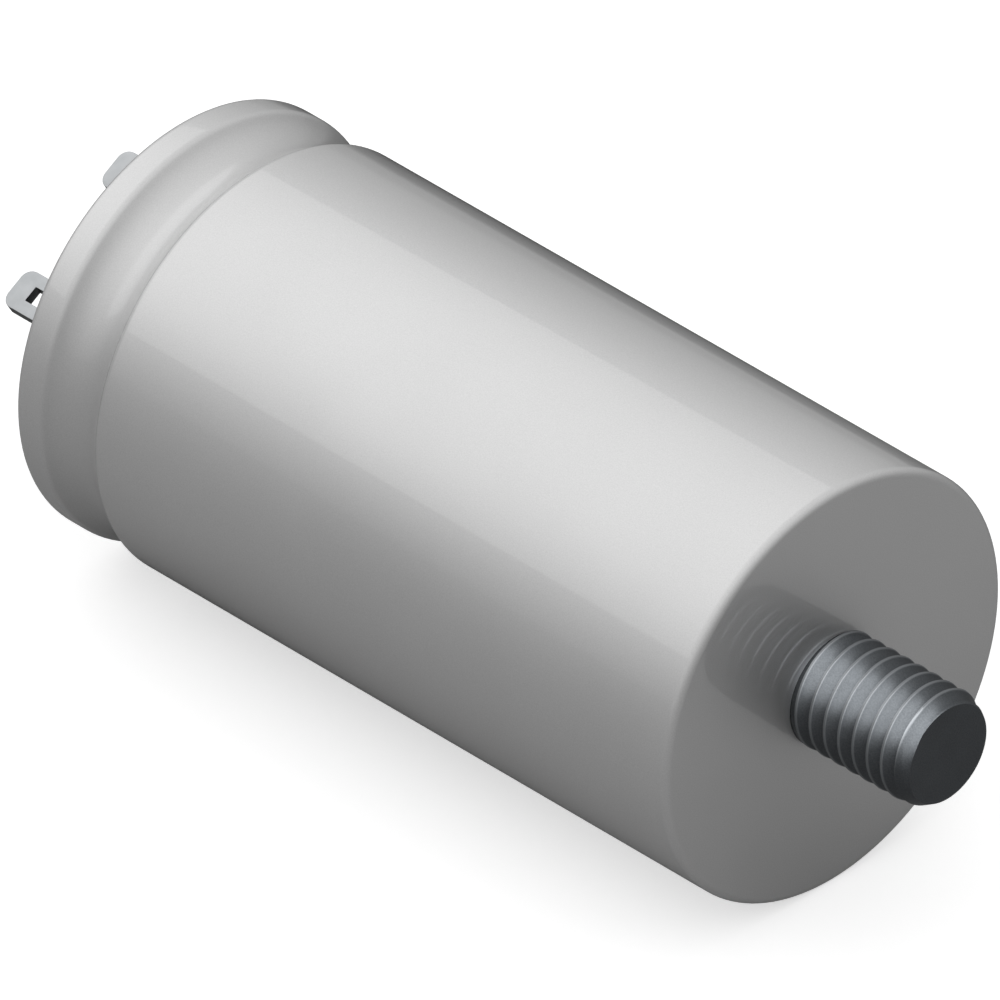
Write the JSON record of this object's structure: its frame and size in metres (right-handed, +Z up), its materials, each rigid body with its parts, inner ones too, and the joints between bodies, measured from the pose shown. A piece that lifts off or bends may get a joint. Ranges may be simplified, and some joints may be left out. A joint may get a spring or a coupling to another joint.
{
  "type": "motor run capacitor",
  "caption": "Round aluminium-can film capacitor with a beaded, curled rim, a mounting stud on its base and folded push-on terminals.",
  "frame": {"origin": "middle of the flat base, where the stud leaves the can", "axes": "+X along the can's axis and out along the stud, the terminals point to -X, +Z up with the can lying level as in the picture"},
  "size_m": [0.0768, 0.03, 0.03],
  "materials": {
    "can": "satin, drawn",
    "stud": "dark plated, threaded",
    "lid": "moulded",
    "seal": "matt",
    "terminal": "tin plated",
    "rivet": "tin plated",
    "lead": "tinned wire",
    "insulation": "moulded, natural",
    "film": "metallised film",
    "wrap": "clear film",
    "zinc": "sprayed zinc",
    "resin": "cast"
  },
  "bodies": {
    "root": {"can_shell": "can", "mounting_stud": "stud", "terminal_deck": "lid", "seal_ring": "seal", "terminal_left": "terminal", "terminal_right": "terminal", "rivet_left": "rivet", "rivet_right": "rivet", "inner_tag_left": "terminal", "inner_tag_right": "terminal", "lead_top": "lead", "lead_bottom": "lead", "retaining_disc": "insulation", "base_insulator": "insulation", "core_tube": "insulation", "film_winding": "film", "outer_wrap": "wrap", "end_spray_bottom": "zinc", "end_spray_top": "zinc", "resin_fill": "resin"}
  },
  "joints": []
}
